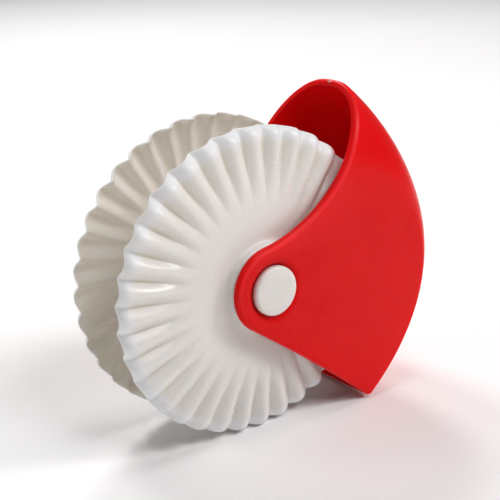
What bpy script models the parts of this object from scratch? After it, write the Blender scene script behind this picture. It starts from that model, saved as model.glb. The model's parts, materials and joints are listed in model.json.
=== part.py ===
"""Pastry cutter wheel: two fluted cutting wheels on one axle, under a U-shaped palm hood.

Frame: +Y runs along the axle, +X from the wheels towards the palm, +Z up. The part stands at z = 0 on
both wheels and on the lower edge of the hood. Lengths below are in millimetres.
"""
import math

import bmesh
import bpy
from mathutils import Vector

MM = 0.001
COLLECTION = "pastry_cutter_wheel"
MERGE = 0.00001                 # merge distance of every modifier, metres
GAP = 0.3                       # gap between pieces that touch
OVERCUT = 1.0                   # how far a cutter reaches past the face it cuts

# The cutting wheels. Their profiles are (radius, height), height measured out from the middle plane.
FLUTES = 36
FLUTE_DEPTH = 2.1               # how far a valley lies below the lobes, along the axle
FLUTE_START = 21.0              # radius at which the flutes begin
FLUTE_FULL = 37.0               # radius from which they have their full depth
FLUTE_STEPS = 6                 # segments round one flute
VALLEY_RADIUS = 42.0
LOBE_RADIUS = 42.25
FLUTE_PHASE = math.radians(5.307)  # how far the first valley lies above the +X direction
DISC_HEIGHT = 14.5
SHELL = 1.4                     # wall of the dish
RIM_WALL = 1.3                  # the same, at the rim
LOBE_RIM_HEIGHT = 11.1          # height of the rim at a lobe
DISH_JOIN_RADIUS = 11.4         # where the dish runs into the boss
SHOULDER = ((27.0, 0.05), (33.0, 0.2), (38.2, 0.5), (40.6, 1.3))  # (radius, drop below the disc)
UNDERSIDE = ((38.8, 0.7), (33.0, 0.2), (27.0, 0.05))              # the same for the inner face
BOSS_RADIUS = 11.8
BOSS_HEIGHT = 17.0
BOSS_EDGE = 0.5                 # bevel round the boss
BOSS_FILLET = 1.7               # radial reach of the fillet round its foot
HUB_RADIUS = 9.4
HUB_STEPS = 40
HUB_END = 5.0
SOCKET_FLATS = 13.0             # across the flats of the hexagonal socket
SOCKET_FLOOR = 12.0

# The axle, its caps and the sleeve.
AXLE_RADIUS = 4.6
AXLE_BORE = 2.9
AXLE_STEPS = 32
CAP_RADIUS = 6.75
CAP_EDGE_HEIGHT = 20.4
CAP_TOP_HEIGHT = 20.85
CAP_CROWN = ((3.5, 20.8), (6.25, 20.6))     # points of the shallow dome
CAP_EDGE_DROP = 0.3
CAP_PLUG_END = 10.5
CAP_PLUG_BEVEL = 0.6
CAP_STEPS = 40

# The hood, in its own upright plane: x towards the palm, z up, the axle at the origin.
PLATE_FACE = 19.7               # half the width over the side plates
WALL = 2.3
LUG_RADIUS = 12.0
COUNTERBORE_FLOOR = 18.3
# An edge: the angle of the line that it ends on, the line's distance from the axle, the radius of the
# arc that leads to it from the lug, and the side of the edge that the arc's centre is on.
TOP_EDGE = (math.radians(60.2), -6.2, 40.4, 1)
LOW_EDGE = (math.radians(-38.8), -9.1, 600.0, -1)
PALM_CENTRE = (-39.3, 4.05)     # centre and half axes of the ellipse that the palm wall follows
PALM_AXES = (99.8, 69.1)
CROWN_LOW = 1.2                 # rise of the palm wall above the plates' edges, at the lower end
CROWN_GROWTH = 37.8             # what is added to it along the ellipse
CROWN_POWER = 2.6
CROWN_SPAN_LOW = 10.4           # width of the rounded corner, at the lower end
CROWN_FROM = math.radians(-50)  # the ellipse's angles between which the crown grows
CROWN_TO = math.radians(55)
CROWN_FULLNESS = 0.96           # power of the corner's curve: 1 is an ellipse, and less is squarer
EDGE_ROUND = 0.6
PALM_ROWS = 36                  # quads up the palm wall, and across one of its corners
PALM_COLUMNS = 8
OUTLINE_STEPS = (12, 18, 6)     # of the top arc, the lug and the low arc
SEARCH_TO = math.radians(80)    # where the search for the palm wall's upper end starts, and its rounds
SEARCH_ROUNDS = 50

# Stance: the hood leans down about the axle until its lower edge meets the table.
LEAN = math.radians(2.05)
AXLE_X = -9.185
AXLE_Z = 42.25

RED = (0.62, 0.012, 0.016, 1)
WHITE = (0.80, 0.77, 0.73, 1)


def clear_scene():
    for obj in list(bpy.data.objects):
        bpy.data.objects.remove(obj, do_unlink=True)


def make_collection(name):
    collection = bpy.data.collections.new(name)
    bpy.context.scene.collection.children.link(collection)
    return collection


def make_material(name, colour, roughness):
    material = bpy.data.materials.new(name)
    material.use_nodes = True
    shader = material.node_tree.nodes["Principled BSDF"]
    shader.inputs["Base Color"].default_value = colour
    shader.inputs["Roughness"].default_value = roughness
    shader.inputs["Metallic"].default_value = 0.0
    return material


def add_object(name, mesh, collection):
    obj = bpy.data.objects.new(name, mesh)
    collection.objects.link(obj)
    return obj


def hide_as_cutter(obj):
    obj.hide_render = True
    obj.display_type = "WIRE"


def mesh_from_bmesh(name, bm):
    mesh = bpy.data.meshes.new(name)
    bm.to_mesh(mesh)
    bm.free()
    return mesh


def cut(obj, cutter, operation="DIFFERENCE"):
    boolean = obj.modifiers.new(cutter.name, "BOOLEAN")
    boolean.operation = operation
    boolean.solver = "EXACT"
    boolean.object = cutter


def turned_mesh(name, profile, steps):
    """A closed ring: the (radius, height) profile in millimetres, turned about local Z."""
    bm = bmesh.new()
    points = [bm.verts.new((radius * MM, 0, height * MM)) for radius, height in profile]
    for first, second in zip(points, points[1:] + points[:1]):
        bm.edges.new((first, second))
    outline = add_object(name + "_outline", mesh_from_bmesh(name, bm), bpy.context.scene.collection)
    screw = outline.modifiers.new("turn", "SCREW")
    screw.steps = steps
    screw.render_steps = steps
    screw.use_merge_vertices = True
    screw.merge_threshold = MERGE
    bpy.context.view_layer.update()
    turned = outline.evaluated_get(bpy.context.evaluated_depsgraph_get())
    mesh = bpy.data.meshes.new_from_object(turned)
    bpy.data.objects.remove(outline, do_unlink=True)
    mesh.name = name
    return mesh


def prism(name, radius, low, high, segments, collection):
    """A cylinder or prism along local Z, between two heights in millimetres."""
    bm = bmesh.new()
    bmesh.ops.create_cone(bm, cap_ends=True, segments=segments, radius1=radius * MM,
                          radius2=radius * MM, depth=(high - low) * MM)
    bmesh.ops.translate(bm, verts=bm.verts, vec=(0, 0, (high + low) / 2 * MM))
    return add_object(name, mesh_from_bmesh(name, bm), collection)


def smooth(obj, material):
    obj.data.materials.clear()
    obj.data.materials.append(material)
    obj.data.shade_smooth()
    obj.data.set_sharp_from_angle(angle=math.radians(40))


# The cutting wheels

def smooth_step(value, low, high):
    t = min(max((value - low) / (high - low), 0), 1)
    return t * t * (3 - 2 * t)


def flute_drop(radius, angle):
    """How deep the flute is at a place, as a share of FLUTE_DEPTH: 0 on a lobe, 1 in a valley."""
    turn = angle * FLUTES / (2 * math.pi)
    across = abs(turn - math.floor(turn) - 0.5) * 2
    return across ** 2 * smooth_step(radius, FLUTE_START, FLUTE_FULL)


def dish_profile():
    """The dish along the crest of a lobe: over the outer side, round the rim and back inside."""
    floor = DISC_HEIGHT - SHELL
    outer = [(DISH_JOIN_RADIUS, DISC_HEIGHT), (FLUTE_START, DISC_HEIGHT)]
    outer += [(radius, DISC_HEIGHT - drop) for radius, drop in SHOULDER]
    rim = [(LOBE_RADIUS, LOBE_RIM_HEIGHT), (LOBE_RADIUS - RIM_WALL, LOBE_RIM_HEIGHT)]
    inner = [(radius, floor - drop) for radius, drop in UNDERSIDE]
    inner += [(FLUTE_START, floor), (DISH_JOIN_RADIUS, floor)]
    return outer + rim + inner


def make_dish():
    """The fluted dish: a turned ring whose points then drop into the valleys."""
    mesh = turned_mesh("fluted_dish", dish_profile(), FLUTES * FLUTE_STEPS)
    for vertex in mesh.vertices:
        x, y, _ = vertex.co
        radius = math.hypot(x, y) / MM
        drop = flute_drop(radius, math.atan2(y, x))
        shrink = 1 - drop * (LOBE_RADIUS - VALLEY_RADIUS) / LOBE_RADIUS
        vertex.co.x *= shrink
        vertex.co.y *= shrink
        vertex.co.z -= drop * FLUTE_DEPTH * MM
    return mesh


def hub_profile():
    """The raised boss outside, the hub tube inside, and the hollow ring between them."""
    bore = AXLE_RADIUS + GAP
    foot = BOSS_RADIUS + BOSS_FILLET
    hollow = BOSS_RADIUS - SHELL
    under = BOSS_HEIGHT - SHELL
    sink = GAP                  # how far the foot's edge is buried in the disc
    boss = [(bore, BOSS_HEIGHT), (BOSS_RADIUS - BOSS_EDGE, BOSS_HEIGHT),
            (BOSS_RADIUS, BOSS_HEIGHT - BOSS_EDGE), (BOSS_RADIUS + GAP, DISC_HEIGHT + 2 * GAP),
            (foot, DISC_HEIGHT - sink), (foot, DISC_HEIGHT - SHELL + sink)]
    hub = [(hollow, DISC_HEIGHT - SHELL - sink), (hollow, under), (HUB_RADIUS, under),
           (HUB_RADIUS, HUB_END), (bore, HUB_END)]
    return boss + hub


def hexagon_corner(flats):
    return flats / 2 / math.cos(math.pi / 6)


def make_wheel(name, dish, side, material, parts, cutters, axle):
    """One wheel; side is -1 for the front wheel, whose outer face looks along -Y, and +1 for the rear."""
    wheel = add_object(name, dish, parts)
    hub = add_object(name + "_hub", turned_mesh(name + "_hub", hub_profile(), HUB_STEPS), cutters)
    socket = prism(name + "_socket", hexagon_corner(SOCKET_FLATS), HUB_END - OVERCUT, SOCKET_FLOOR, 6,
                   cutters)
    for tool in (hub, socket):
        hide_as_cutter(tool)
    for obj in (wheel, hub, socket):
        obj.parent = axle
        obj.rotation_euler = (-side * math.pi / 2, -FLUTE_PHASE, 0)
    cut(wheel, hub, "UNION")
    cut(wheel, socket)
    smooth(wheel, material)


# The sleeve, axle and caps

def make_sleeve(material, parts, cutters, axle):
    """A hexagonal tube that keys both hubs together, with a round collar between the hubs' ends."""
    half = SOCKET_FLOOR - GAP
    end = half + OVERCUT
    sleeve = prism("hub_sleeve", hexagon_corner(SOCKET_FLATS - 2 * GAP), -half, half, 6, parts)
    collar = prism("sleeve_collar", HUB_RADIUS, GAP - HUB_END, HUB_END - GAP, HUB_STEPS, cutters)
    bore = prism("sleeve_bore", AXLE_RADIUS + GAP, -end, end, AXLE_STEPS, cutters)
    for obj in (sleeve, collar, bore):
        obj.parent = axle
        obj.rotation_euler = (math.pi / 2, -FLUTE_PHASE, 0)
    for tool in (collar, bore):
        hide_as_cutter(tool)
    cut(sleeve, collar, "UNION")
    cut(sleeve, bore)
    smooth(sleeve, material)


def make_axle_tube(material, parts, axle):
    end = COUNTERBORE_FLOOR
    profile = [(AXLE_BORE, end), (AXLE_RADIUS, end), (AXLE_RADIUS, -end), (AXLE_BORE, -end)]
    tube = add_object("axle_tube", turned_mesh("axle_tube", profile, AXLE_STEPS), parts)
    tube.parent = axle
    tube.rotation_euler = (math.pi / 2, 0, 0)
    smooth(tube, material)


def cap_mesh():
    """A domed head with a plug that fills the end of the axle's bore; both meet on the axis."""
    under = COUNTERBORE_FLOOR + GAP
    plug = AXLE_BORE - GAP
    profile = [(0, CAP_TOP_HEIGHT), *CAP_CROWN, (CAP_RADIUS, CAP_EDGE_HEIGHT - CAP_EDGE_DROP),
               (CAP_RADIUS, under), (plug, under), (plug, CAP_PLUG_END + CAP_PLUG_BEVEL),
               (plug - CAP_PLUG_BEVEL, CAP_PLUG_END), (0, CAP_PLUG_END)]
    return turned_mesh("pivot_cap", profile, CAP_STEPS)


def weld(mesh):
    """Joins the points that a profile has on the axis, and drops the faces that this flattens."""
    bm = bmesh.new()
    bm.from_mesh(mesh)
    bmesh.ops.remove_doubles(bm, verts=bm.verts, dist=MERGE)
    axis_edges = [edge for edge in bm.edges if not edge.link_faces]
    bmesh.ops.delete(bm, geom=axis_edges, context="EDGES")
    bmesh.ops.recalc_face_normals(bm, faces=bm.faces)
    bm.to_mesh(mesh)
    bm.free()
    return mesh


def make_caps(material, parts, axle):
    mesh = weld(cap_mesh())
    for name, side in (("front_cap", -1), ("rear_cap", 1)):
        cap = add_object(name, mesh, parts)
        cap.parent = axle
        cap.rotation_euler = (-side * math.pi / 2, 0, 0)
        smooth(cap, material)


# The hood

def line_side(x, z, angle, offset):
    """Signed distance of a point from the line at an angle and offset: positive on its upper side."""
    return z * math.cos(angle) - x * math.sin(angle) - offset


def crown_share(psi):
    return min(max((psi - CROWN_FROM) / (CROWN_TO - CROWN_FROM), 0), 1)


def palm_point(psi, share):
    """A point of the palm wall's outer face, on its front half.

    psi is the angle on the palm's ellipse, and share runs from 0 at the side plate's edge to 1 where the
    rounded corner ends. The corner is a quarter of a slightly squared ellipse, deeper and wider towards
    the top.
    """
    corner_depth = CROWN_LOW + CROWN_GROWTH * crown_share(psi) ** CROWN_POWER
    corner_width = CROWN_SPAN_LOW + (PLATE_FACE - CROWN_SPAN_LOW) * crown_share(psi)
    x = PALM_CENTRE[0] + PALM_AXES[0] * math.cos(psi)
    z = PALM_CENTRE[1] + PALM_AXES[1] * math.sin(psi)
    normal = Vector((math.cos(psi) / PALM_AXES[0], math.sin(psi) / PALM_AXES[1])).normalized()
    depth = corner_depth * (1 - math.sin(share * math.pi / 2) ** CROWN_FULLNESS)
    y = -(PLATE_FACE - corner_width * (1 - math.cos(share * math.pi / 2) ** CROWN_FULLNESS))
    return x - normal.x * depth, y, z - normal.y * depth


def above_edge(x, z, angle, offset, radius, side):
    """Whether a point lies above an edge of the hood: an arc from the lug, and then a straight line."""
    centre, on_line, _ = edge_arc(angle, offset, radius, side)
    point = Vector((x, z))
    if (point - on_line).dot(Vector((math.cos(angle), math.sin(angle)))) < 0:
        return ((point - centre).length < radius) == (side > 0)
    return line_side(x, z, angle, offset) > 0


def palm_limit(share, edge):
    """The ellipse angle at which one line across the palm wall reaches an edge of the hood."""
    low, high = CROWN_FROM, SEARCH_TO
    for _ in range(SEARCH_ROUNDS):
        middle = (low + high) / 2
        x, _, z = palm_point(middle, share)
        if above_edge(x, z, *edge):
            high = middle
        else:
            low = middle
    return low


def arc_points(centre, radius, start, end, count):
    return [(centre[0] + radius * math.cos(start + (end - start) * i / count),
             centre[1] + radius * math.sin(start + (end - start) * i / count)) for i in range(count + 1)]


def edge_arc(angle, offset, radius, side):
    """Centre of the arc that leads from the lug's circle to an edge line, and its two tangent points.

    side is +1 for the top edge, whose arc lies above it, and -1 for the low edge, which curves about a
    centre below it.
    """
    along = Vector((math.cos(angle), math.sin(angle)))
    normal = Vector((-math.sin(angle), math.cos(angle)))
    out = offset + side * radius
    reach = radius + LUG_RADIUS
    centre = along * math.sqrt(reach ** 2 - out ** 2) + normal * out
    on_line = centre - normal * side * radius
    on_lug = centre.normalized() * LUG_RADIUS
    return centre, on_line, on_lug


def direction(point, centre):
    return math.atan2(point[1] - centre[1], point[0] - centre[0])


def plate_outline():
    """Side plate, from the palm wall's top end over the lug to the palm wall's low end.

    Both ends of the palm wall lie on the arcs, so the plate's outline runs between them.
    """
    top_end, low_end = [palm_point(palm_limit(0, edge), 0)[::2] for edge in (TOP_EDGE, LOW_EDGE)]
    top_centre, _, top_lug = edge_arc(*TOP_EDGE)
    low_centre, _, low_lug = edge_arc(*LOW_EDGE)
    top_steps, lug_steps, low_steps = OUTLINE_STEPS
    top_arc = arc_points(top_centre, TOP_EDGE[2], direction(top_end, top_centre),
                         direction(top_lug, top_centre), top_steps)
    lug = arc_points((0, 0), LUG_RADIUS, direction(top_lug, (0, 0)),
                     direction(low_lug, (0, 0)) + 2 * math.pi, lug_steps)
    low_arc = arc_points(low_centre, LOW_EDGE[2], direction(low_lug, low_centre),
                         direction(low_end, low_centre), low_steps)
    return top_arc[1:] + lug[1:-1] + low_arc[:-1]


def palm_rows(bm):
    """Half the palm wall: its faces, and its first line, which it shares with the side plate."""
    grid = []
    for column in range(PALM_COLUMNS + 1):
        share = column / PALM_COLUMNS
        top, low = palm_limit(share, TOP_EDGE), palm_limit(share, LOW_EDGE)
        psis = [low + (top - low) * row / PALM_ROWS for row in range(PALM_ROWS + 1)]
        grid.append([bm.verts.new(Vector(palm_point(psi, share)) * MM) for psi in psis])
    grid.append([bm.verts.new((vertex.co.x, 0, vertex.co.z)) for vertex in grid[-1]])
    for first, second in zip(grid, grid[1:]):
        for row in range(PALM_ROWS):
            bm.faces.new((first[row], first[row + 1], second[row + 1], second[row]))
    return grid[0]


def half_hood_mesh():
    """The hood's outer surface in front of the middle plane: half the palm wall and one side plate."""
    bm = bmesh.new()
    shared = palm_rows(bm)
    outline = [bm.verts.new((x * MM, -PLATE_FACE * MM, z * MM)) for x, z in plate_outline()]
    chain = [shared[-1]] + outline + [shared[0]]
    edges = [bm.edges.new(pair) for pair in zip(chain, chain[1:])]
    edges += [bm.edges.get(pair) for pair in zip(shared, shared[1:])]
    hole = [bm.verts.new((x * MM, -PLATE_FACE * MM, z * MM))
            for x, z in arc_points((0, 0), AXLE_RADIUS + GAP, 0, 2 * math.pi, AXLE_STEPS)[:-1]]
    edges += [bm.edges.new(pair) for pair in zip(hole, hole[1:] + hole[:1])]
    bmesh.ops.triangle_fill(bm, use_beauty=True, use_dissolve=False, edges=edges, normal=(0, -1, 0))
    bmesh.ops.recalc_face_normals(bm, faces=bm.faces)
    plate = min(bm.faces, key=lambda face: face.calc_center_median().y)
    if plate.normal.y > 0:
        bmesh.ops.reverse_faces(bm, faces=bm.faces)
    return mesh_from_bmesh("handle_shell", bm)


def make_handle(material, parts, cutters, hood):
    shell = add_object("handle_shell", half_hood_mesh(), parts)
    shell.parent = hood
    mirror = shell.modifiers.new("far_half", "MIRROR")
    mirror.use_axis = (False, True, False)
    mirror.merge_threshold = MERGE
    wall = shell.modifiers.new("wall", "SOLIDIFY")
    wall.thickness = WALL * MM
    wall.offset = -1
    wall.use_even_offset = True
    rounding = shell.modifiers.new("edges", "BEVEL")
    rounding.width = EDGE_ROUND * MM
    rounding.segments = 1
    rounding.limit_method = "ANGLE"
    rounding.angle_limit = math.radians(55)
    for name, side in (("front_counterbore", -1), ("rear_counterbore", 1)):
        counterbore = prism(name, CAP_RADIUS + GAP, COUNTERBORE_FLOOR, PLATE_FACE + OVERCUT, CAP_STEPS,
                            cutters)
        counterbore.parent = hood
        counterbore.rotation_euler = (-side * math.pi / 2, 0, 0)
        hide_as_cutter(counterbore)
        cut(shell, counterbore)
    smooth(shell, material)


def main():
    clear_scene()
    parts = make_collection(COLLECTION)
    cutters = make_collection("cutters")
    red = make_material("red_plastic", RED, 0.38)
    white = make_material("white_plastic", WHITE, 0.28)
    axle = add_object("axle_line", None, parts)
    axle.location = (AXLE_X * MM, 0, AXLE_Z * MM)
    hood = add_object("hood_lean", None, parts)
    hood.parent = axle
    hood.rotation_euler = (0, LEAN, 0)
    dish = make_dish()
    make_wheel("front_wheel", dish, -1, white, parts, cutters, axle)
    make_wheel("rear_wheel", dish, 1, white, parts, cutters, axle)
    make_sleeve(white, parts, cutters, axle)
    make_axle_tube(white, parts, axle)
    make_caps(white, parts, axle)
    make_handle(red, parts, cutters, hood)


main()
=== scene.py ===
"""Looks of the pastry cutter wheel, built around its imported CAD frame.

Lengths are in millimetres until a mesh is made. The axle runs along Y. A turned profile is a list of
(radius, height) points, with height measured along the axle, outwards from the middle plane. A negative
radius in a profile stands for a hexagon, which is that many millimetres across its flats.
"""

import json
import math

import bmesh
import bpy
import numpy as np
from mathutils import Matrix, Vector
from mathutils.geometry import tessellate_polygon


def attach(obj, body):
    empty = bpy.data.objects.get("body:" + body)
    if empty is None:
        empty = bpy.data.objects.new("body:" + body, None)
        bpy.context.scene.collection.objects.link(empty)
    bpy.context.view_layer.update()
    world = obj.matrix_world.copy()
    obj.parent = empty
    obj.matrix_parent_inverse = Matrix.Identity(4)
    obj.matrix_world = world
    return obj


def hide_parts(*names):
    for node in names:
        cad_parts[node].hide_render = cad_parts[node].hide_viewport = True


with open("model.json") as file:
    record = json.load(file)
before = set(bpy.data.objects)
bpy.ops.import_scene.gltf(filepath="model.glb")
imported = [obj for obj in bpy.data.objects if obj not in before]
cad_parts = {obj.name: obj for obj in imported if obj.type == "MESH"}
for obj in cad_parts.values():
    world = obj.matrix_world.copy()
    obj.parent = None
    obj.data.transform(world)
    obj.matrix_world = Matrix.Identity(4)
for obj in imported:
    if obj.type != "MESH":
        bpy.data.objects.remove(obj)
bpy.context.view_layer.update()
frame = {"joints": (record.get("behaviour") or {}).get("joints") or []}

MM = 0.001
AXLE = Vector(frame["joints"][0]["pos_m"]) / MM    # a point on the hinge wheel_spin
LEAN = math.radians(2.05)           # how far the hood leans down about the axle
FLUTE_PHASE = math.radians(5.307)   # where the first valley and one corner of the hexagons lie
FRONT, REAR = -1, 1                 # sides of the middle plane


# Shared geometry

def smooth_step(value, low, high):
    t = np.clip((value - low) / (high - low), 0, 1)
    return t * t * (3 - 2 * t)


def fillet(start, corner, end, steps):
    """Points of a rounded corner, from start round to end, both of them included."""
    points = []
    for i in range(steps + 1):
        t = i / steps
        points.append(tuple((1 - t) ** 2 * a + 2 * t * (1 - t) * b + t * t * c
                            for a, b, c in zip(start, corner, end)))
    return points


def mirrored(half):
    """A closed profile from the half of it above the middle plane."""
    return half + [(radius, -height) for radius, height in reversed(half) if height]


def circle_angles(count):
    return np.arange(count) * 2 * math.pi / count


def radii_at(radius, angles):
    """The radius at each angle: a circle's or, where radius is negative, a hexagon's."""
    if radius > 0:
        return np.full(len(angles), float(radius))
    around = (angles - FLUTE_PHASE) % (math.pi / 3) - math.pi / 6
    return -radius / 2 / np.cos(around)


def ring_points(angles, radii, y):
    """A ring of points about the axle. y is one number, or one for each angle."""
    return np.stack([AXLE.x + radii * np.cos(angles), np.broadcast_to(y, angles.shape),
                     AXLE.z + radii * np.sin(angles)], 1)


def ring_faces(rings, columns, close_rings):
    """Quads between successive rings of the same number of points."""
    faces = []
    for r in range(rings if close_rings else rings - 1):
        for c in range(columns):
            a, b = r * columns, (r + 1) % rings * columns
            d = (c + 1) % columns
            faces.append((a + c, b + c, b + d, a + d))
    return faces


def mesh_object(name, points, faces, smooth_angle=50):
    """A mesh object from points in millimetres, in the row frame, with its faces turned outwards."""
    mesh = bpy.data.meshes.new(name)
    mesh.from_pydata([tuple(float(c) * MM for c in p) for p in points], [], faces)
    bm = bmesh.new()
    bm.from_mesh(mesh)
    bmesh.ops.recalc_face_normals(bm, faces=bm.faces)
    bm.to_mesh(mesh)
    bm.free()
    mesh.shade_smooth()
    mesh.set_sharp_from_angle(angle=math.radians(smooth_angle))
    obj = bpy.data.objects.new(name, mesh)
    bpy.context.scene.collection.objects.link(obj)
    return obj


def add_attribute(obj, name, values):
    attribute = obj.data.attributes.new(name, "FLOAT", "POINT")
    attribute.data.foreach_set("value", np.asarray(values, np.float32).ravel())


def turned(name, profile, side, angles, poles=None):
    """A profile turned about the axle, on the front or the rear side.

    The profile closes on itself, unless poles gives the heights at which its two ends meet the axis.
    """
    points = [ring_points(angles, radii_at(radius, angles), side * height) for radius, height in profile]
    faces = ring_faces(len(profile), len(angles), poles is None)
    if poles:
        count, last = len(angles), (len(profile) - 1) * len(angles)
        for ring, height in zip((0, last), poles):
            pole = sum(len(rows) for rows in points)
            points.append(np.array([[AXLE.x, side * height, AXLE.z]]))
            faces += [(ring + c, ring + (c + 1) % count, pole) for c in range(count)]
    return mesh_object(name, np.concatenate(points), faces)


# The cutting wheels

WHEEL_RADIUS = 42.25            # the CAD wheel's; the rim below stays just inside it
FLUTES = 36
FLUTE_DEPTH = 2.1
FLUTE_START = 21.0              # the radii over which the flutes grow to their full depth
FLUTE_FULL = 37.0
VALLEY_TIP = 0.14               # softness of the line at the bottom of a valley
VALLEY_SHRINK = 0.25            # how much smaller the rim's radius is in a valley
INSIDE_POWER = 3.2              # narrows the ridges on the inner face
SKIRT_FROM = 37.5               # the radii over which the thin skirt's painted highlight, a cooler white, sets in
SKIRT_TO = 41.0
RING_SPACING = 0.9              # the widest gap between two rings of the disc
# shares of half a flute, from the valley to the lobe's crest
FLUTE_STATIONS = (0, 0.025, 0.06, 0.11, 0.18, 0.28, 0.4, 0.55, 0.7, 0.85, 1.0)

DISC_FACE = 14.5                # heights of the disc's outer and inner faces where it is flat
DISC_BACK = 13.1
DISC_START = 18.0               # the disc is flat from the hub to here, and a little beyond
WHEEL_OUTER = (
    (21.0, 14.5), (22.2, 14.5), (23.4, 14.5), (24.8, 14.49), (26.2, 14.48), (27.6, 14.47), (29.0, 14.46),
    (30.5, 14.43), (32.0, 14.39), (33.5, 14.33), (35.0, 14.25), (36.4, 14.15), (37.6, 14.05),
    (38.6, 13.93), (39.4, 13.78), (40.1, 13.57), (40.7, 13.27), (41.2, 12.9), (41.6, 12.45),
    (41.9, 11.95), (42.1, 11.5))
WHEEL_RIM = ((42.2, 11.3), (42.2, 11.15), (42.13, 11.04), (42.0, 11.0), (41.87, 11.03), (41.76, 11.12))
WHEEL_INNER = (
    (41.62, 11.3), (41.3, 11.58), (40.8, 11.87), (40.2, 12.1), (39.4, 12.33), (38.5, 12.52), (37.4, 12.68),
    (36.0, 12.81), (34.6, 12.9), (33.0, 12.96), (31.0, 13.0), (29.0, 13.04), (27.0, 13.07), (25.0, 13.09),
    (23.0, 13.1), (21.0, 13.1))

BOSS_FACE = 17.0
BOSS_RADIUS = 11.8
BOSS_INSIDE = 10.6              # the groove under the boss, between its wall and the hub's tube
BOSS_ROOF = 15.6
HUB_RADIUS = 9.4                # the tube under the boss, and how near the middle plane it ends
HUB_END = 5.0
HUB_BORE = 4.9
HUB_MOUTH = 0.3                 # chamfer of the bore
SOCKET_FLATS = 13.0             # the hexagonal socket that takes the sleeve
SOCKET_CHAMFER = 0.5
SOCKET_FLOOR = 12.0


def flute_angles():
    """Angles round the wheel, closer together near the valleys, and each one's distance from its valley."""
    shares = list(FLUTE_STATIONS) + [2 - s for s in reversed(FLUTE_STATIONS[1:-1])]
    angles, across = [], []
    for flute in range(FLUTES):
        for share in shares:
            angles.append(FLUTE_PHASE + (flute + share / 2) * 2 * math.pi / FLUTES)
            across.append(share if share <= 1 else 2 - share)
    return np.array(angles), np.array(across)


def flute_drop(across, inner):
    """Depth of the flute as a share, 0 on the crest: rounded lobes outside, soft ridges inside."""
    full = math.sqrt(1 + VALLEY_TIP ** 2) - VALLEY_TIP
    tip = (np.sqrt(across ** 2 + VALLEY_TIP ** 2) - VALLEY_TIP) / full
    outside = (1 - tip) ** 2
    inside = np.sin((1 - across) * math.pi / 2) ** INSIDE_POWER
    return outside * (1 - inner) + inside * inner


def refined(profile):
    """The profile with extra points, so that none lie further apart than RING_SPACING."""
    points = [profile[0]]
    for (r, h), (next_r, next_h) in zip(profile, profile[1:]):
        count = math.ceil(math.hypot(next_r - r, next_h - h) / RING_SPACING)
        points += [(r + (next_r - r) * i / count, h + (next_h - h) * i / count)
                   for i in range(1, count + 1)]
    return points


def hub_top():
    """From the bore over the raised boss, round its edge and its foot, to the disc."""
    face = [(HUB_BORE + HUB_MOUTH, BOSS_FACE), (8.0, BOSS_FACE), (10.5, BOSS_FACE)]
    edge = fillet((BOSS_RADIUS - 0.7, BOSS_FACE), (BOSS_RADIUS - 0.05, BOSS_FACE),
                  (BOSS_RADIUS, BOSS_FACE - 0.7), 7)
    foot = fillet((BOSS_RADIUS + 0.05, BOSS_FACE - 1.2), (BOSS_RADIUS + 0.15, DISC_FACE),
                  (BOSS_RADIUS + 2.8, DISC_FACE), 10)
    return face + edge + foot + [(DISC_START, DISC_FACE)]


def hub_under():
    """From the disc's inner face, up under the boss and down the hub's tube to its end."""
    corner = fillet((BOSS_INSIDE + 1.6, DISC_BACK), (BOSS_INSIDE, DISC_BACK),
                    (BOSS_INSIDE, DISC_BACK + 1.1), 4)
    roof = fillet((BOSS_INSIDE, BOSS_ROOF - 0.4), (BOSS_INSIDE, BOSS_ROOF),
                  (BOSS_INSIDE - 0.4, BOSS_ROOF), 3)
    roof += fillet((HUB_RADIUS + 0.4, BOSS_ROOF), (HUB_RADIUS, BOSS_ROOF),
                   (HUB_RADIUS, BOSS_ROOF - 0.4), 3)
    tube = [(HUB_RADIUS, 12.0), (HUB_RADIUS, 8.5)]
    end = fillet((HUB_RADIUS, HUB_END + 0.5), (HUB_RADIUS, HUB_END), (HUB_RADIUS - 0.5, HUB_END), 3)
    return [(DISC_START, DISC_BACK), (15.5, DISC_BACK)] + corner + roof + tube + end


def hub_socket():
    """Up the hexagonal socket and through the bore."""
    return [(-SOCKET_FLATS - SOCKET_CHAMFER, HUB_END), (-SOCKET_FLATS, HUB_END + 0.3),
            (-SOCKET_FLATS, SOCKET_FLOOR), (HUB_BORE, SOCKET_FLOOR), (HUB_BORE, BOSS_FACE - HUB_MOUTH)]


def wheel_section():
    """The wheel's closed section, as rows of radius, height and a share, 0 outside and 1 inside."""
    outside = hub_top() + refined(WHEEL_OUTER)
    inside = refined(WHEEL_INNER) + hub_under() + hub_socket()
    rim = [(r, h, (i + 1) / (len(WHEEL_RIM) + 1)) for i, (r, h) in enumerate(WHEEL_RIM)]
    return [(r, h, 0.0) for r, h in outside] + rim + [(r, h, 1.0) for r, h in inside]


def make_wheel(name, side):
    """A fluted wheel, with attributes that say where its colour takes painted shade in the valleys, a
    painted highlight on the skirt and a painted warm shade on the inner face.
    """
    angles, across = flute_angles()
    section = wheel_section()
    rings, relief, skirt_highlight, inside = [], [], [], []
    for radius, height, inner in section:
        drop = flute_drop(across, inner) * smooth_step(radius, FLUTE_START, FLUTE_FULL)
        radii = radii_at(radius, angles) * (1 - drop * VALLEY_SHRINK / WHEEL_RADIUS)
        rings.append(ring_points(angles, radii, side * (height - drop * FLUTE_DEPTH)))
        # the flute's depth, which also sets the painted shade in the valleys
        relief.append(drop)
        # the painted highlight on the skirt, on the outer face only
        skirt_highlight.append(np.full(len(angles), smooth_step(radius, SKIRT_FROM, SKIRT_TO) * (1 - inner)))
        # the inner face, where the colour takes a painted warm shade
        inside.append(np.full(len(angles), inner))
    obj = mesh_object(name, np.concatenate(rings), ring_faces(len(section), len(angles), True), 60)
    for key, values in (("relief", relief), ("skirt_highlight", skirt_highlight), ("inside", inside)):
        add_attribute(obj, key, np.concatenate(values))
    return obj


# The sleeve, axle and caps

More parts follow.
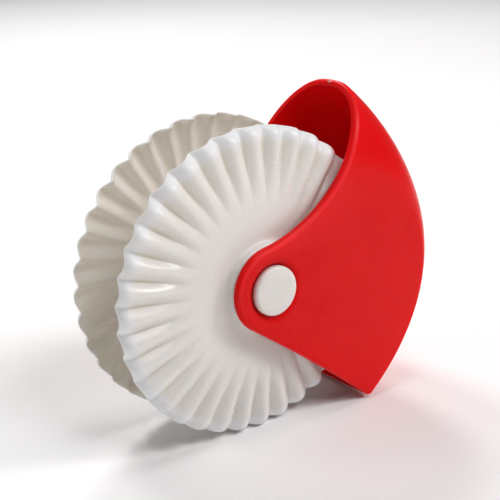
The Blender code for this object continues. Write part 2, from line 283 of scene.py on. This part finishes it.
SLEEVE_SIDES = 192
SLEEVE_HALF = 11.7              # half its length
SLEEVE_FLATS = 12.4
SLEEVE_BORE = 4.9
COLLAR_RADIUS = 9.4             # the round collar that keeps the two hubs apart
COLLAR_HALF = 4.7
COLLAR_ROUND = 0.5
AXLE_SIDES = 96
AXLE_HALF = 18.3
AXLE_RADIUS = 4.6
AXLE_BORE = 2.9
AXLE_CHAMFER = 0.3
CAP_SIDES = 128
CAP_TOP = 20.85
CAP_UNDER = 18.6
CAP_RADIUS = 6.75
CAP_DOME = 0.16                 # how far the face falls towards its edge
PLUG_END = 10.5
PLUG_RADIUS = 2.6
PLUG_CHAMFER = 0.6


def make_sleeve():
    """The hexagonal sleeve that keys the wheels together, with its collar."""
    end = [(SLEEVE_BORE, SLEEVE_HALF - 0.2), (SLEEVE_BORE + 0.9, SLEEVE_HALF),
           (-SLEEVE_FLATS, SLEEVE_HALF - 0.3), (-SLEEVE_FLATS, COLLAR_HALF)]
    collar = fillet((COLLAR_RADIUS - COLLAR_ROUND, COLLAR_HALF), (COLLAR_RADIUS, COLLAR_HALF),
                    (COLLAR_RADIUS, COLLAR_HALF - COLLAR_ROUND), 4)
    profile = mirrored(end + collar + [(COLLAR_RADIUS, 0)])
    return turned("sleeve_body", profile, FRONT, circle_angles(SLEEVE_SIDES) + FLUTE_PHASE)


def make_axle():
    half = [(AXLE_BORE, 0), (AXLE_BORE, AXLE_HALF - AXLE_CHAMFER), (AXLE_BORE + AXLE_CHAMFER, AXLE_HALF),
            (AXLE_RADIUS - AXLE_CHAMFER, AXLE_HALF), (AXLE_RADIUS, AXLE_HALF - AXLE_CHAMFER),
            (AXLE_RADIUS, AXLE_HALF / 2), (AXLE_RADIUS, 0)]
    return turned("axle_body", mirrored(half), FRONT, circle_angles(AXLE_SIDES))


def make_cap(name, side):
    """A button with a softly domed face and a small rounded edge, on a plug for the axle's bore."""
    dome = [(r, CAP_TOP - CAP_DOME * (r / 6.2) ** 2) for r in (0.6, 1.6, 2.8, 4.0, 5.0, 5.6)]
    edge = fillet((CAP_RADIUS - 0.85, CAP_TOP - CAP_DOME), (CAP_RADIUS - 0.05, CAP_TOP - 0.24),
                  (CAP_RADIUS, CAP_TOP - 1.05), 8)
    under = [(CAP_RADIUS, CAP_UNDER + 0.3), (CAP_RADIUS - 0.25, CAP_UNDER), (PLUG_RADIUS, CAP_UNDER)]
    plug = [(PLUG_RADIUS, PLUG_END + PLUG_CHAMFER), (PLUG_RADIUS - PLUG_CHAMFER, PLUG_END), (0.6, PLUG_END)]
    return turned(name, dome + edge + under + plug, side, circle_angles(CAP_SIDES), (CAP_TOP, PLUG_END))


# The hood, in its own upright plane: x towards the palm, z up, the axle at the origin. Its front half is
# built and then mirrored. A depth is measured in from the outer face, and an inset in from the edge.

PLATE_FACE = 19.7
WALL = 2.3
LUG_RADIUS = 12.0
# An edge: the angle of the line that it ends on, the line's distance from the axle, the radius of the
# arc that leads to it from the lug, and the side of the edge that the arc's centre is on.
TOP_EDGE = (math.radians(60.2), -6.2, 40.4, 1)
LOW_EDGE = (math.radians(-38.8), -9.1, 600.0, -1)
PALM_CENTRE = (-39.3, 4.05)
PALM_AXES = (99.76, 69.08)      # half axes of the ellipse that the palm wall follows
PALM_SEARCH = (math.radians(-60), math.radians(80))   # the ellipse angles that both edges lie between
PALM_HALVINGS = 40
# The rounded corner between the palm wall and the side plate grows from the low end to the crown.
CROWN_FROM = math.radians(-50)
CROWN_TO = math.radians(55)
CROWN_LOW = 1.2
CROWN_GROWTH = 37.8
CROWN_POWER = 2.6
CROWN_SPAN_LOW = 10.4
CROWN_FULLNESS = 0.96           # power of the corner's curve: 1 is an ellipse, and less is squarer
PALM_ROWS = 72
PALM_COLUMNS = 26
OUTLINE_STEPS = (40, 60, 30)    # along the top edge, the lug and the low edge
OUTER_ROUND = 1.5               # radii of the hood's rounded edges, outside and inside
INNER_ROUND = 0.6
OUTER_ROUND_STEPS = 9
INNER_ROUND_STEPS = 6
EDGE_HIGHLIGHT = (0.3, 0.75, 1.0, 0.95, 0.8, 0.6, 0.4, 0.25, 0.1)   # the painted highlight's strength, from the outer face over the edge
RECESS_RADIUS = 9.4             # where the plate starts to dip towards the cap
POCKET_RADIUS = 7.05            # the pocket round the cap
POCKET_FLOOR = 18.3
AXLE_HOLE = 4.9
HOLE_STEPS = 128
GATE_ACROSS = 0.45              # half sizes of the gate's nub, and how far it stands off the rim
GATE_ALONG = 0.8
GATE_HEIGHT = 0.3
GATE_LIFT = -0.05               # its foot is sunk in the rim
GATE_RINGS = ((1, 0), (1, 0.5), (0.85, 0.85), (0.55, 1), (0.25, 0.8))   # shares of size and height
GATE_STEPS = 24


def palm_point(psi, share, depth):
    """A point of the palm wall's front half, where psi is the ellipse angle.

    share runs from 0 at the side plate's edge to 1 where the rounded corner ends.
    """
    grown = min(max((psi - CROWN_FROM) / (CROWN_TO - CROWN_FROM), 0), 1)
    corner = CROWN_LOW + CROWN_GROWTH * grown ** CROWN_POWER
    span = CROWN_SPAN_LOW + (PLATE_FACE - CROWN_SPAN_LOW) * grown - depth
    if depth:
        # the corner is smaller on the inner face, but never falls to nothing
        spare = corner - depth
        corner = (spare + math.sqrt(spare ** 2 + 1.0)) / 2
    axes = (PALM_AXES[0] - depth, PALM_AXES[1] - depth)
    normal = Vector((math.cos(psi) / axes[0], math.sin(psi) / axes[1])).normalized()
    sink = corner * (1 - math.sin(share * math.pi / 2) ** CROWN_FULLNESS)
    y = -(PLATE_FACE - depth - span * (1 - math.cos(share * math.pi / 2) ** CROWN_FULLNESS))
    return Vector((PALM_CENTRE[0] + axes[0] * math.cos(psi) - normal.x * sink, y,
                   PALM_CENTRE[1] + axes[1] * math.sin(psi) - normal.y * sink))


def edge_arc(angle, offset, radius, side, inset):
    """Centre of the arc between the lug and an edge's line, and its ends on the line and on the lug."""
    along = Vector((math.cos(angle), math.sin(angle)))
    normal = Vector((-math.sin(angle), math.cos(angle)))
    radius += inset
    out = offset - side * inset + side * radius
    centre = along * math.sqrt((radius + LUG_RADIUS - inset) ** 2 - out ** 2) + normal * out
    return centre, centre - normal * side * radius, centre.normalized() * (LUG_RADIUS - inset)


def above_edge(x, z, angle, offset, radius, side, inset):
    """Whether a point lies above an edge of the hood: an arc from the lug, and then a straight line."""
    centre, on_line, _ = edge_arc(angle, offset, radius, side, inset)
    point = Vector((x, z))
    if (point - on_line).dot(Vector((math.cos(angle), math.sin(angle)))) < 0:
        return ((point - centre).length < radius + inset) == (side > 0)
    return z * math.cos(angle) - x * math.sin(angle) > offset - side * inset


def palm_limit(share, depth, edge, inset):
    """The ellipse angle at which one line of the palm wall reaches an edge of the hood."""
    low, high = PALM_SEARCH
    for _ in range(PALM_HALVINGS):
        middle = (low + high) / 2
        point = palm_point(middle, share, depth)
        if above_edge(point.x, point.z, *edge, inset):
            high = middle
        else:
            low = middle
    return low


def palm_grid(depth, inset):
    """The palm wall's front half, one list of points for each line from the plate's edge to the middle."""
    lines = []
    for column in range(PALM_COLUMNS + 1):
        share = column / PALM_COLUMNS
        top, low = palm_limit(share, depth, TOP_EDGE, inset), palm_limit(share, depth, LOW_EDGE, inset)
        lines.append([palm_point(low + (top - low) * row / PALM_ROWS, share, depth)
                      for row in range(PALM_ROWS + 1)])
    lines.append([Vector((p.x, 0, p.z)) for p in lines[-1]])
    return lines


def arc_points(centre, radius, start, end, count):
    return [(centre[0] + radius * math.cos(start + (end - start) * i / count),
             centre[1] + radius * math.sin(start + (end - start) * i / count)) for i in range(count + 1)]


def circle_points(radius, y):
    """Points round the axle's hole."""
    return [Vector((x, y, z)) for x, z in arc_points((0, 0), radius, 0, 2 * math.pi, HOLE_STEPS)[:-1]]


def direction(point, centre):
    return math.atan2(point[1] - centre[1], point[0] - centre[0])


def plate_outline(depth, inset):
    """The side plate's edge, from the palm wall's top end over the lug to its low end."""
    ends = [palm_point(palm_limit(0, depth, edge, inset), 0, depth) for edge in (TOP_EDGE, LOW_EDGE)]
    top_end, low_end = [(end.x, end.z) for end in ends]
    top_centre, _, top_lug = edge_arc(*TOP_EDGE, inset)
    low_centre, _, low_lug = edge_arc(*LOW_EDGE, inset)
    top_steps, lug_steps, low_steps = OUTLINE_STEPS
    top = arc_points(top_centre, TOP_EDGE[2] + inset, direction(top_end, top_centre),
                     direction(top_lug, top_centre), top_steps)
    lug = arc_points((0, 0), LUG_RADIUS - inset, direction(top_lug, (0, 0)),
                     direction(low_lug, (0, 0)) + 2 * math.pi, lug_steps)
    low = arc_points(low_centre, LOW_EDGE[2] + inset, direction(low_lug, low_centre),
                     direction(low_end, low_centre), low_steps)
    return [Vector((x, depth - PLATE_FACE, z)) for x, z in top[1:] + lug[1:-1] + low[:-1]]


def edge_loop(depth, inset):
    """The hood's edge on one face: the palm wall's top end, the side plate's outline, the low end."""
    lines = palm_grid(depth, inset)
    top, low = [line[-1] for line in reversed(lines)], [line[0] for line in lines]
    return top + plate_outline(depth, inset) + low


def edge_wear(count):
    """How strongly each of the edge loop's points carries the painted highlight: on the crown, the top edge
    and the lug, and not below.
    """
    top_steps, lug_steps, _ = OUTLINE_STEPS
    crown = [max(0.0, 1.0 - i / PALM_COLUMNS) for i in range(PALM_COLUMNS + 2)]
    lug = [1.0 - i / lug_steps for i in range(lug_steps)]
    worn = crown[::-1] + [1.0] * top_steps + lug
    return worn + [0.0] * (count - len(worn))


class Builder:
    """Collects points, merged by position, each one's share of the painted edge highlight, and faces."""

    def __init__(self):
        self.points, self.wear, self.faces, self.index = [], [], [], {}

    def point(self, p, wear=0.0):
        key = (round(p[0], 4), round(p[1], 4), round(p[2], 4))
        if key not in self.index:
            self.index[key] = len(self.points)
            self.points.append(Vector(p))
            self.wear.append(wear)
        return self.index[key]

    def face(self, points):
        corners = []
        for p in points:
            i = self.point(p)
            if i not in corners:
                corners.append(i)
        if len(corners) > 2:
            self.faces.append(corners)

    def strip(self, row, after):
        """Quads between two rows of points."""
        for i in range(len(row) - 1):
            self.face([row[i], row[i + 1], after[i + 1], after[i]])


def add_palm(build, depth, inset):
    """One face of the palm wall."""
    lines = palm_grid(depth, inset)
    for line, after in zip(lines, lines[1:]):
        build.strip(line, after)


def add_plate(build, depth, inset, hole_radius):
    """One flat face of the side plate, with its round hole."""
    border = palm_grid(depth, inset)[0]
    outline = [border[-1]] + plate_outline(depth, inset) + border[:-1]
    hole = circle_points(hole_radius, depth - PLATE_FACE)
    flat = [[Vector((p.x, p.z, 0)) for p in loop] for loop in (outline, hole)]
    corners = outline + hole
    for triangle in tessellate_polygon(flat):
        build.face([corners[i] for i in triangle])


def add_rim(build):
    """The rounded edge of the hood, from the outer face's border round to the inner face's."""
    loops = [edge_loop(0, OUTER_ROUND), edge_loop(0, 0), edge_loop(WALL, 0), edge_loop(WALL, INNER_ROUND)]
    rows = []
    for outer, outer_edge, inner_edge, inner in zip(*loops):
        through = (inner_edge - outer_edge).normalized()
        first = fillet(outer, outer_edge, outer_edge + through * OUTER_ROUND, OUTER_ROUND_STEPS)
        second = fillet(inner_edge - through * INNER_ROUND, inner_edge, inner, INNER_ROUND_STEPS)
        rows.append(first + second)
    # each point of the rounded edge takes its share of the painted highlight
    for row, wear in zip(rows, edge_wear(len(rows))):
        for p, share in zip(row, EDGE_HIGHLIGHT):
            build.point(p, wear * share)
    for row, after in zip(rows, rows[1:]):
        build.strip(row, after)


def add_pivot_hole(build):
    """The soft-edged pocket round the cap, its floor and the hole that the axle goes through."""
    mouth = fillet((RECESS_RADIUS, PLATE_FACE), (POCKET_RADIUS + 1.15, PLATE_FACE),
                   (POCKET_RADIUS + 0.3, PLATE_FACE - 0.65), 8)
    mouth += fillet((POCKET_RADIUS + 0.1, PLATE_FACE - 0.8), (POCKET_RADIUS, PLATE_FACE - 0.9),
                    (POCKET_RADIUS, PLATE_FACE - 1.05), 3)
    floor = fillet((POCKET_RADIUS, POCKET_FLOOR + 0.15), (POCKET_RADIUS, POCKET_FLOOR),
                   (POCKET_RADIUS - 0.15, POCKET_FLOOR), 2)
    hole = [(AXLE_HOLE + 0.05, POCKET_FLOOR), (AXLE_HOLE, PLATE_FACE - WALL)]
    rings = [circle_points(radius, -height) for radius, height in mouth + floor + hole]
    for ring, after in zip(rings, rings[1:]):
        build.strip(ring + ring[:1], after + after[:1])


def placed(points):
    """Points of the hood's upright plane, leaned down and moved to the axle."""
    turn = Matrix.Rotation(LEAN, 3, "Y")
    return [turn @ p + AXLE for p in points]


def make_hood():
    build = Builder()
    add_rim(build)
    for depth, inset, hole_radius in ((0, OUTER_ROUND, RECESS_RADIUS), (WALL, INNER_ROUND, AXLE_HOLE)):
        add_palm(build, depth, inset)
        add_plate(build, depth, inset, hole_radius)
    add_pivot_hole(build)
    # the rear half mirrors the front one, and shares the points on the middle plane
    half = len(build.points)
    points = build.points + [Vector((p.x, -p.y, p.z)) for p in build.points]
    other = [i if abs(p.y) < 1e-6 else i + half for i, p in enumerate(build.points)]
    faces = build.faces + [[other[i] for i in reversed(face)] for face in build.faces]
    used = sorted({i for face in faces for i in face})
    place = {old: new for new, old in enumerate(used)}
    obj = mesh_object("hood_body", placed([points[i] for i in used]),
                      [[place[i] for i in face] for face in faces], 60)
    # the painted highlight along the rounded edge goes to the red material as an attribute
    add_attribute(obj, "wear", [(build.wear + build.wear)[i] for i in used])
    weighted = obj.modifiers.new("normals", "WEIGHTED_NORMAL")
    weighted.keep_sharp = True
    weighted.weight = 90
    return obj


def make_gate_mark():
    """The small nub that the moulding gate left on the rim, at the top of the arch."""
    outer, inner = edge_loop(0, 0)[0], edge_loop(WALL, 0)[0]
    across = (inner - outer).normalized() * GATE_ACROSS
    along = Vector((0, GATE_ALONG, 0))
    out = Vector((-math.sin(TOP_EDGE[0]), 0, math.cos(TOP_EDGE[0])))
    centre = (outer + inner) / 2 + out * GATE_LIFT
    points = []
    for share, height in GATE_RINGS:
        for t in circle_angles(GATE_STEPS):
            side = (across * math.cos(t) + along * math.sin(t)) * share
            points.append(centre + side + out * (GATE_HEIGHT * height))
    faces = ring_faces(len(GATE_RINGS), GATE_STEPS, False)
    faces += [tuple(range(GATE_STEPS)), tuple(range(len(points) - GATE_STEPS, len(points)))]
    obj = mesh_object("gate_mark", placed(points), faces)
    # the whole nub is painted pale pink: a painted highlight
    add_attribute(obj, "gate_highlight", [1.0] * len(points))
    return obj


# Materials, with colours in linear light and texture scales per metre

RED_DEEP = (0.71, 0.0030, 0.0045, 1)
RED_BRIGHT = (0.77, 0.0038, 0.0058, 1)
# a painted highlight along the hood's rounded edge
RED_RIM_HIGHLIGHT = (0.98, 0.045, 0.052, 1)
# a painted highlight on the gate's nub
RED_GATE_HIGHLIGHT = (0.95, 0.30, 0.29, 1)
WHITE_WARM = (0.78, 0.752, 0.722, 1)
WHITE_PALE = (0.81, 0.784, 0.756, 1)
# painted shade in the flute valleys
WHITE_VALLEY_SHADE = (0.70, 0.66, 0.57, 1)
# a painted highlight on the wheel's skirt
WHITE_SKIRT_HIGHLIGHT = (0.86, 0.865, 0.885, 1)
# painted warm shade on the wheels' inner faces
WHITE_INSIDE_SHADE = (0.80, 0.775, 0.665, 1)
FLOOR_GREY = (0.93, 0.93, 0.93, 1)
FLOOR_PALE = (0.96, 0.96, 0.96, 1)
NOISE_RANGE = (0.3, 0.7)        # nearly all of a noise texture's values lie in here


class Nodes:
    """Short names for building a node tree."""

    def __init__(self, material):
        material.use_nodes = True
        self.tree = material.node_tree
        self.shader = self.tree.nodes["Principled BSDF"]

    def add(self, kind, **settings):
        node = self.tree.nodes.new("ShaderNode" + kind)
        for name, value in settings.items():
            setattr(node, name, value)
        return node

    def join(self, source, target):
        self.tree.links.new(source, target)

    def noise(self, place, scale, detail, roughness=0.5):
        node = self.add("TexNoise")
        node.inputs["Scale"].default_value = scale
        node.inputs["Detail"].default_value = detail
        node.inputs["Roughness"].default_value = roughness
        self.join(place, node.inputs["Vector"])
        return node.outputs["Fac"]

    def remap(self, value, low, high, to_low, to_high):
        node = self.add("MapRange")
        node.clamp = True
        node.inputs["From Min"].default_value = low
        node.inputs["From Max"].default_value = high
        node.inputs["To Min"].default_value = to_low
        node.inputs["To Max"].default_value = to_high
        self.join(value, node.inputs["Value"])
        return node.outputs["Result"]

    def spread(self, noise, low, high):
        """A noise spread over the range from low to high."""
        return self.remap(noise, *NOISE_RANGE, low, high)

    def blend(self, factor, first, second):
        node = self.add("Mix", data_type="RGBA")
        for socket, colour in ((node.inputs[6], first), (node.inputs[7], second)):
            if isinstance(colour, tuple):
                socket.default_value = colour
            else:
                self.join(colour, socket)
        self.join(factor, node.inputs[0])
        return node.outputs[2]

    def sum(self, first, second):
        node = self.add("Math", operation="ADD")
        self.join(first, node.inputs[0])
        self.join(second, node.inputs[1])
        return node.outputs[0]

    def bump(self, height, strength, distance, normal=None):
        node = self.add("Bump")
        node.inputs["Strength"].default_value = strength
        node.inputs["Distance"].default_value = distance
        self.join(height, node.inputs["Height"])
        if normal is not None:
            self.join(normal, node.inputs["Normal"])
        return node.outputs["Normal"]

    def attribute(self, name):
        return self.add("Attribute", attribute_name=name).outputs["Fac"]


def red_plastic(name, translucency):
    """Satin moulded plastic: fine grain, faint flow marks, a few raised specks, edges painted lighter as a
    highlight, and a painted highlight on the gate's nub.
    """
    material = bpy.data.materials.new(name)
    n = Nodes(material)
    place = n.add("TexCoord").outputs["Object"]
    flow = n.noise(place, 26.0, 3.0, 0.55)
    grain = n.noise(place, 2600.0, 2.0, 0.6)
    colour = n.blend(n.spread(flow, 0, 1), RED_DEEP, RED_BRIGHT)
    # the rounded edges are painted a lighter red: a painted highlight
    colour = n.blend(n.remap(n.attribute("wear"), 0.1, 1.0, 0, 0.8), colour, RED_RIM_HIGHLIGHT)
    # the gate's nub is painted pale pink: a painted highlight
    colour = n.blend(n.attribute("gate_highlight"), colour, RED_GATE_HIGHLIGHT)
    n.join(colour, n.shader.inputs["Base Color"])
    n.join(n.sum(n.spread(flow, 0.27, 0.33), n.spread(grain, -0.03, 0.03)), n.shader.inputs["Roughness"])
    specks = n.add("TexVoronoi")
    specks.inputs["Scale"].default_value = 85.0
    n.join(place, specks.inputs["Vector"])
    pimple = n.remap(specks.outputs["Distance"], 0.0, 0.035, 1.0, 0.0)
    soft = n.bump(grain, 0.10, 0.0001)
    n.join(n.bump(pimple, 0.5, 0.0002, soft), n.shader.inputs["Normal"])
    n.shader.inputs["IOR"].default_value = 1.49
    n.shader.inputs["Specular IOR Level"].default_value = 0.11
    n.shader.inputs["Subsurface Weight"].default_value = translucency
    n.shader.inputs["Subsurface Radius"].default_value = (1.0, 0.06, 0.06)
    n.shader.inputs["Subsurface Scale"].default_value = 0.0045
    return material


def white_plastic():
    """Glossy off-white plastic, a little translucent, with faint flow marks, painted shade in the flute
    valleys, a painted highlight on the skirt and a painted warm shade on the inner faces.
    """
    material = bpy.data.materials.new("wheel_white")
    n = Nodes(material)
    place = n.add("TexCoord").outputs["Object"]
    flow = n.noise(place, 34.0, 3.0, 0.5)
    grain = n.noise(place, 3000.0, 2.0, 0.5)
    colour = n.blend(n.spread(flow, 0, 1), WHITE_WARM, WHITE_PALE)
    # the flute valleys are painted darker and warmer: painted shade
    colour = n.blend(n.remap(n.attribute("relief"), 0.55, 1.0, 0, 0.5), colour, WHITE_VALLEY_SHADE)
    # the skirt is painted a lighter, cooler white: a painted highlight
    colour = n.blend(n.remap(n.attribute("skirt_highlight"), 0, 1, 0, 0.85), colour, WHITE_SKIRT_HIGHLIGHT)
    # the inner faces are painted a warmer white: painted shade of the gap between the wheels
    colour = n.blend(n.remap(n.attribute("inside"), 0, 1, 0, 0.2), colour, WHITE_INSIDE_SHADE)
    n.join(colour, n.shader.inputs["Base Color"])
    n.join(n.sum(n.spread(flow, 0.25, 0.31), n.spread(grain, -0.02, 0.03)), n.shader.inputs["Roughness"])
    n.join(n.bump(grain, 0.06, 0.0001), n.shader.inputs["Normal"])
    n.shader.inputs["IOR"].default_value = 1.48
    n.shader.inputs["Subsurface Weight"].default_value = 0.7
    n.shader.inputs["Subsurface Radius"].default_value = (1.0, 0.88, 0.76)
    n.shader.inputs["Subsurface Scale"].default_value = 0.002
    return material


def floor_material():
    """Matt, nearly white, with a faint mottle."""
    material = bpy.data.materials.new("floor_pale")
    n = Nodes(material)
    mottle = n.noise(n.add("TexCoord").outputs["Object"], 3.0, 3.0)
    n.join(n.blend(n.spread(mottle, 0, 1), FLOOR_GREY, FLOOR_PALE), n.shader.inputs["Base Color"])
    n.join(n.spread(mottle, 0.7, 0.8), n.shader.inputs["Roughness"])
    return material


# Stage, light and camera, in metres

FLOOR_HALF = 6.0
FLOOR_DROP = 0.0002             # keeps the floor clear of what rests on it
WORLD_STRENGTH = 0.1
LIGHT_SIZE = 0.35
LIGHT_DISTANCE = 1.3
LIGHT_AIM = Vector((0, 0, 0.04))
# name, azimuth and elevation in degrees, watts, colour
LIGHTS = (
    ("key_softbox", 45, 37, 6.0, (1.0, 0.98, 0.97)),
    ("upper_front_softbox", 20, 55, 2.1, (1.0, 0.97, 0.97)),
    ("front_softbox", 0, 50, 2.8, (0.98, 0.98, 1.0)),
    ("left_softbox", -120, 30, 1.7, (1.0, 0.99, 0.93)),
    ("back_softbox", 180, 50, 4.6, (1.0, 0.98, 0.98)),
    ("back_right_softbox", 150, 40, 5.0, (1.0, 0.99, 0.98)),
    ("top_softbox", 0, 85, 2.4, (1.0, 1.0, 1.0)))
CAMERA_AZIMUTH = -37.716
CAMERA_ELEVATION = 17.690
CAMERA_PLACE = (-167.98, -226.19, 96.01)   # in millimetres from the axle, in the hood's upright plane
CAMERA_LENS = 78.258
CAMERA_SENSOR = 36.0


def outward(azimuth, elevation):
    """The direction away from the object. Azimuth 0 is in front of it, and 90 on its palm side."""
    a, e = math.radians(azimuth), math.radians(elevation)
    return Vector((math.sin(a) * math.cos(e), -math.cos(a) * math.cos(e), math.sin(e)))


def make_floor():
    bm = bmesh.new()
    bmesh.ops.create_grid(bm, x_segments=2, y_segments=2, size=FLOOR_HALF)
    mesh = bpy.data.meshes.new("floor")
    bm.to_mesh(mesh)
    bm.free()
    mesh.materials.append(floor_material())
    floor = bpy.data.objects.new("floor", mesh)
    floor.location = (0, 0, -FLOOR_DROP)
    bpy.context.scene.collection.objects.link(floor)


def area_light(name, azimuth, elevation, watts, colour):
    """A round softbox that faces the object."""
    back = outward(azimuth, elevation)
    light = bpy.data.lights.new(name, "AREA")
    light.shape = "DISK"
    light.size = LIGHT_SIZE
    light.energy = watts
    light.color = colour
    obj = bpy.data.objects.new(name, light)
    obj.location = LIGHT_AIM + back * LIGHT_DISTANCE
    obj.rotation_euler = (-back).to_track_quat("-Z", "Y").to_euler()
    bpy.context.scene.collection.objects.link(obj)


def make_lights():
    world = bpy.data.worlds.new("studio")
    world.use_nodes = True
    background = world.node_tree.nodes["Background"]
    background.inputs["Color"].default_value = (1.0, 1.0, 1.0, 1)
    background.inputs["Strength"].default_value = WORLD_STRENGTH
    bpy.context.scene.world = world
    for light in LIGHTS:
        area_light(*light)


def make_camera():
    """The photograph's camera. It leans with the hood, so that the part stands level."""
    back = outward(CAMERA_AZIMUTH, CAMERA_ELEVATION)
    right = Vector((0, 0, 1)).cross(back).normalized()
    up = back.cross(right)
    view = Matrix((right, up, back)).transposed().to_4x4()
    upright = Matrix.Translation(Vector(CAMERA_PLACE) * MM) @ view
    stance = Matrix.Translation(AXLE * MM) @ Matrix.Rotation(LEAN, 4, "Y")
    camera = bpy.data.cameras.new("camera")
    camera.lens = CAMERA_LENS
    camera.sensor_width = CAMERA_SENSOR
    camera.clip_start = 0.01
    camera.clip_end = 20.0
    obj = bpy.data.objects.new("camera", camera)
    obj.matrix_world = stance @ upright
    bpy.context.scene.collection.objects.link(obj)
    bpy.context.scene.camera = obj


def dress(obj, material, body, slot, *nodes):
    """Gives a piece its material and the body that it rides on, and hides the CAD nodes it replaces. The
    slot argument is not used.
    """
    obj.data.materials.append(material)
    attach(obj, body)
    if nodes:
        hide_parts(*nodes)


def main():
    bpy.context.scene.view_settings.view_transform = "Standard"
    red, white = red_plastic("hood_red", 0.8), white_plastic()
    dress(make_hood(), red, "handle", "red_plastic", "handle_shell")
    dress(make_gate_mark(), red_plastic("gate_red", 0.0), "handle", "red_plastic")
    dress(make_axle(), white, "handle", "white_plastic", "axle_tube")
    dress(make_cap("front_cap_button", FRONT), white, "handle", "white_plastic", "front_cap")
    dress(make_cap("rear_cap_button", REAR), white, "handle", "white_plastic", "rear_cap")
    dress(make_wheel("front_wheel_disc", FRONT), white, "wheel_set", "white_plastic", "front_wheel")
    dress(make_wheel("rear_wheel_disc", REAR), white, "wheel_set", "white_plastic", "rear_wheel")
    dress(make_sleeve(), white, "wheel_set", "white_plastic", "hub_sleeve")
    make_floor()
    make_lights()
    make_camera()


main()
